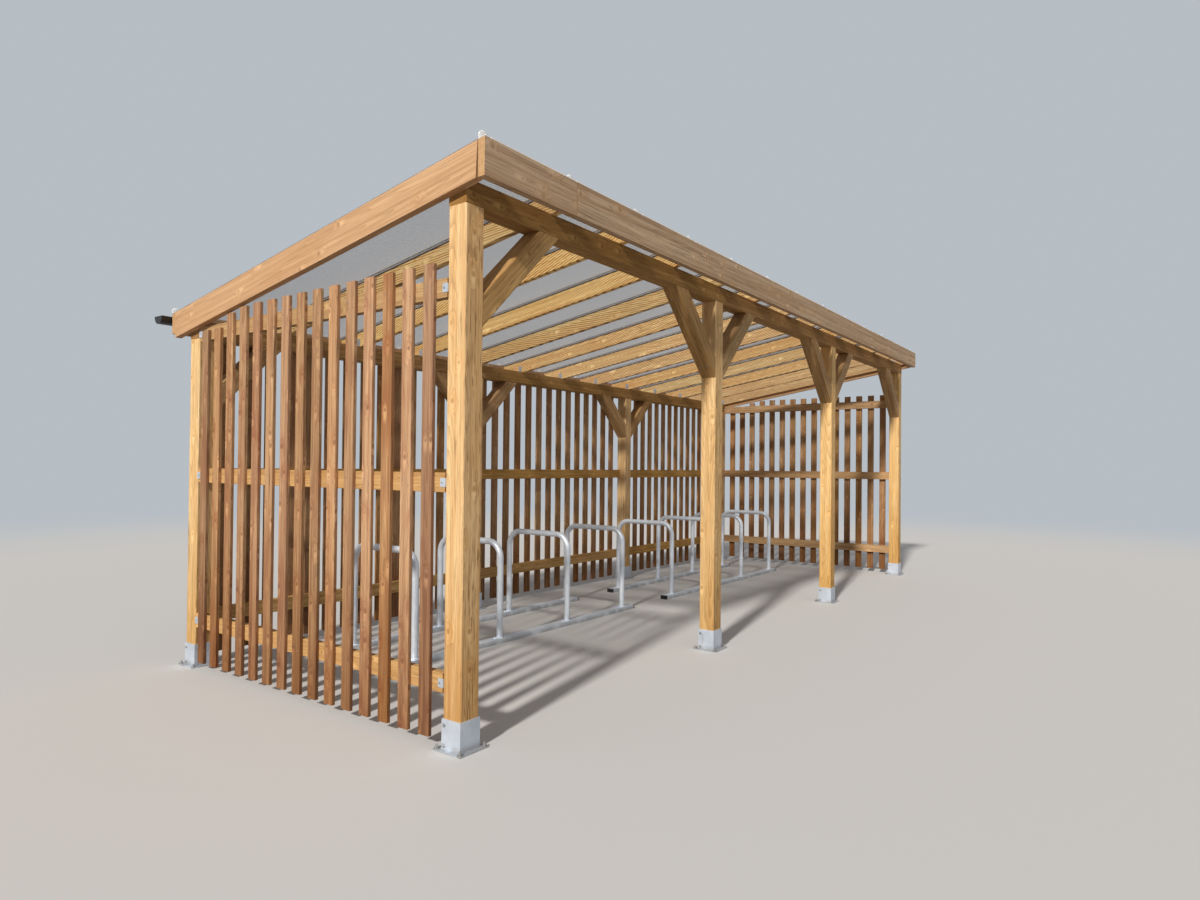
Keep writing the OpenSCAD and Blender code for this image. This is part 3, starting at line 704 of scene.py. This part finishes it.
def rack_details(steel):
    """A weld bead round each leg's foot and a bolt on each side of it."""
    welds = Heads("rack_welds")
    bolts = Heads("rack_bolts")
    radius = TUBE_R + WELD_OUT
    places, legs = hoop_places()
    for x in places:
        for y in legs:
            for k in range(WELD_BUMPS):
                angle = 2 * math.pi * k / WELD_BUMPS
                place = (x + radius * math.cos(angle), y + radius * math.sin(angle), HOOP_BASE_Z)
                size = random.uniform(0.0038, 0.0050)
                bump = [(7, [(size, -0.001), (size * 0.9, 0.003), (size * 0.4, 0.0052)])]
                welds.add(place, Z, bump)
            for side in (-1, 1):
                bolts.add((x + side * RACK_BOLT_OUT, y, HOOP_BASE_Z), Z, RACK_BOLT)
    welds.done(steel)
    bolts.done(steel)


# ---------------------------------------------------------------- sealing strips and painted shadow strips on the roof

# Sections, as (outwards, up) from the strip's edge
GASKET = [(0.0, 0.0), (0.0045, 0.0), (0.0040, 0.0022), (0.0018, 0.0034), (0.0, 0.0036)]
# The section of the painted shadow strips along the top of the rafters' sides
SHADOW_STRIP = [(0.0, -0.0002), (0.0026, -0.0002), (0.0026, -0.0070), (0.0012, -0.0080), (0.0, -0.0080)]
GASKET_BITE = 0.0008    # how far a strip reaches into what carries it
SHADOW_STRIP_BITE = 0.0006
STRIP_INSET = 0.001     # how far a strip stops short at each end of its run; the painted shadow strips along the rafters stop twice as far


def bar_gaskets(material):
    """The rubber gasket that shows as a dark line along both edges of each glazing bar's cap."""
    low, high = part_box("glazing_bars")
    edges = [(x + side * (HALF_CAP - GASKET_BITE), side) for x in BAR_X for side in (-1, 1)]
    roof_strips("bar_gaskets", material, edges, GASKET, SHEET_T, low.y, high.y)


def rafter_shadow_strips(material):
    """Black strips along the top of each rafter's sides, where the sheets meet them: painted shadow."""
    low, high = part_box("rafters")
    edges = [(x + side * (RAFTER_W / 2 - SHADOW_STRIP_BITE), side) for x, side in inner_sides(RAFTER_X)]
    roof_strips("rafter_shadow_strips", material, edges, SHADOW_STRIP, 0.0, low.y + STRIP_INSET, high.y - STRIP_INSET)


def roof_strips(name, material, edges, section, above, front, rear):
    """Strips down the roof's slope. An edge is (x, side), and the section runs outwards from it; above is the
    height of the section's origin over the rafters' top line."""
    low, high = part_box("rafters")
    start = Vector((0, front, high.z - (front - low.y) * math.tan(ROOF_PITCH)))
    run = (rear - front) / math.cos(ROOF_PITCH)
    down, _, out = (Vector(direction) for direction in SLOPE)
    mesh = bmesh.new()
    for x, side in edges:
        loops = []
        for reach in (STRIP_INSET, run - STRIP_INSET):
            points = [start + down * reach + out * (above + up) + Vector((x + side * across, 0, 0))
                      for across, up in section]
            loops.append([mesh.verts.new(point) for point in points])
        close_loops(mesh, loops)
    bmesh.ops.recalc_face_normals(mesh, faces=mesh.faces)
    add_piece(name, mesh, material)


# ---------------------------------------------------------------- floor, light and camera

BACKGROUND = (0.47, 0.51, 0.55, 1.0)
FLOOR_SEEN = (0.64, 0.63, 0.62, 1.0)
FLOOR_BOUNCE = (0.30, 0.28, 0.26, 1.0)      # what the floor throws on the shelter, as dull as paving
FLOOR_FADE = (8.0, 19.0)                    # distances between which the floor turns into the background
SKY_LIGHT = (0.96, 0.97, 1.0, 1.0)
SKY_STRENGTH = 0.29


def seen_rays(tree):
    """1 where the camera, a reflection or a refraction looks at the surface, else 0."""
    path = tree.nodes.new("ShaderNodeLightPath")
    seen = path.outputs["Is Camera Ray"]
    for ray in ("Is Glossy Ray", "Is Transmission Ray"):
        either = tree.nodes.new("ShaderNodeMath")
        either.operation = "MAXIMUM"
        tree.links.new(seen, either.inputs[0])
        tree.links.new(path.outputs[ray], either.inputs[1])
        seen = either.outputs[0]
    return seen


def stage():
    """A pale floor that fades into the background far from the shelter."""
    g = Graph("floor")
    fade = g.ramp(g.length(g.scaled(g.place, (1.0, 1.0, 0.0))), *FLOOR_FADE)
    g.surface(g.mix(seen_rays(g.tree), FLOOR_BOUNCE, FLOOR_SEEN), 0.9, Specular_IOR_Level=0.1)
    glow = g.filled("ShaderNodeEmission", (BACKGROUND,))
    both = g.filled("ShaderNodeMixShader", (fade, g.shader.outputs["BSDF"], glow.outputs["Emission"]))
    g.put(g.tree.nodes["Material Output"].inputs["Surface"], both.outputs["Shader"])
    bpy.ops.mesh.primitive_circle_add(vertices=96, radius=60.0, fill_type="NGON", location=(0, 0, -0.0005))
    floor = bpy.context.object
    floor.name = "floor"
    floor.data.materials.append(g.material)


def world():
    """Even white light, and a pale background where the camera or a reflection looks at it."""
    studio = bpy.data.worlds.new("studio")
    bpy.context.scene.world = studio
    studio.use_nodes = True
    nodes = studio.node_tree.nodes
    links = studio.node_tree.links
    light = nodes["Background"]
    light.inputs["Color"].default_value = SKY_LIGHT
    light.inputs["Strength"].default_value = SKY_STRENGTH
    seen = nodes.new("ShaderNodeBackground")
    seen.inputs["Color"].default_value = BACKGROUND
    seen.inputs["Strength"].default_value = 1.0
    mixed = nodes.new("ShaderNodeMixShader")
    links.new(seen_rays(studio.node_tree), mixed.inputs["Fac"])
    links.new(light.outputs["Background"], mixed.inputs[1])
    links.new(seen.outputs["Background"], mixed.inputs[2])
    links.new(mixed.outputs["Shader"], nodes["World Output"].inputs["Surface"])


def sun(name, towards, strength, softness, color):
    """A far lamp that shines along towards; softness is its angle in degrees."""
    lamp = bpy.data.lights.new(name, "SUN")
    lamp.energy = strength
    lamp.angle = math.radians(softness)
    lamp.color = color
    holder = bpy.data.objects.new(name, lamp)
    holder.rotation_mode = "QUATERNION"
    holder.rotation_quaternion = Vector(towards).to_track_quat("-Z", "Y")
    bpy.context.scene.collection.objects.link(holder)


IMAGE_W = 1200
IMAGE_H = 900
FOCAL_PX = 753.5
AXIS_PX = (605.34, 458.49)
CAMERA_PLACE = Vector((-6.6399, -4.1941, 1.4220))
CAMERA_YAW = math.radians(35.83)
CAMERA_PITCH = math.radians(0.63)
CAMERA_ROLL = math.radians(0.55)


def camera():
    """The photograph's viewpoint: place, direction and focal length as solved from the posts."""
    forward = Vector((
        math.cos(CAMERA_YAW) * math.cos(CAMERA_PITCH),
        math.sin(CAMERA_YAW) * math.cos(CAMERA_PITCH),
        math.sin(CAMERA_PITCH),
    ))
    level = Vector((math.sin(CAMERA_YAW), -math.cos(CAMERA_YAW), 0))
    upright = level.cross(forward)
    right = math.cos(CAMERA_ROLL) * level + math.sin(CAMERA_ROLL) * upright
    up = -math.sin(CAMERA_ROLL) * level + math.cos(CAMERA_ROLL) * upright
    turn = Matrix((right, up, -forward)).transposed().to_4x4()
    data = bpy.data.cameras.new("camera")
    data.sensor_width = 36.0
    data.lens = FOCAL_PX / IMAGE_W * data.sensor_width
    data.shift_x = (IMAGE_W / 2 - AXIS_PX[0]) / IMAGE_W
    data.shift_y = (AXIS_PX[1] - IMAGE_H / 2) / IMAGE_W
    data.clip_end = 200.0
    holder = bpy.data.objects.new("camera", data)
    holder.matrix_world = Matrix.Translation(CAMERA_PLACE) @ turn
    bpy.context.scene.collection.objects.link(holder)
    bpy.context.scene.camera = holder


# ---------------------------------------------------------------- the shelter

zinc = galvanised("galvanised", (217, 225, 236), (192, 202, 214), metallic=0.40)
clip_zinc = galvanised("clip_steel", (196, 202, 210), (172, 178, 186), metallic=0.40)
# The racks' zinc is paler than the shoes': painted light, standing in for sunlight on the hoops
rack_zinc = galvanised("rack_steel", (240, 247, 255), (218, 227, 238), metallic=0.35, blotches=0.15)
nail_zinc = galvanised("nail_steel", (150, 142, 134), (118, 110, 102), metallic=0.45, grain=400.0)
fixing_zinc = galvanised("fixing_steel", (176, 180, 184), (138, 140, 142), metallic=0.45, grain=400.0)
black = plastic("black_plastic", (30, 30, 33), (58, 58, 60), 0.38)
white = plastic("white_plastic", (252, 252, 250), (242, 242, 236), 0.35)
cap_white = plastic("cap_plastic", (252, 252, 250), (246, 246, 240), 0.35, Subsurface_Weight=1.0,
                    Subsurface_Radius=(0.03, 0.03, 0.03), Subsurface_Scale=1.0)
# Black rubber for the glazing bars' gaskets, and also the black of the painted shadow strips along the
# rafters
seal_and_shadow = rubber("seal_and_shadow_black")

dress_timber()
dress(zinc, "front_shoes", "rear_shoes", "rail_brackets")
dress(clip_zinc, "rafter_clips")
dress(rack_zinc, "rack_1_base", "rack_2_base", "rack_1_hoops", "rack_2_hoops")
dress(black, "gutter", "rack_end_plugs")
dress(cap_white, "bar_end_caps")
dress(white, "sheet_trims")
dress(clear_sheet("clear_sheet"), "roof_sheets")
dress(clear_bar("clear_bar"), "glazing_bars")

# These draw random numbers, so their order is part of the looks
slat_nails(nail_zinc)
shoe_fixings(fixing_zinc)
bracket_screws(fixing_zinc)
clip_screws(fixing_zinc)
brace_screws(fixing_zinc)
rack_details(rack_zinc)

bar_gaskets(seal_and_shadow)
rafter_shadow_strips(seal_and_shadow)

stage()
world()
sun("key", (0.82, 0.17, -0.54), 3.5, 4.0, (1.0, 0.96, 0.90))
sun("fill", (0.35, 0.85, -0.40), 0.20, 60.0, (0.97, 0.98, 1.0))
camera()
bpy.context.scene.view_settings.view_transform = "Standard"
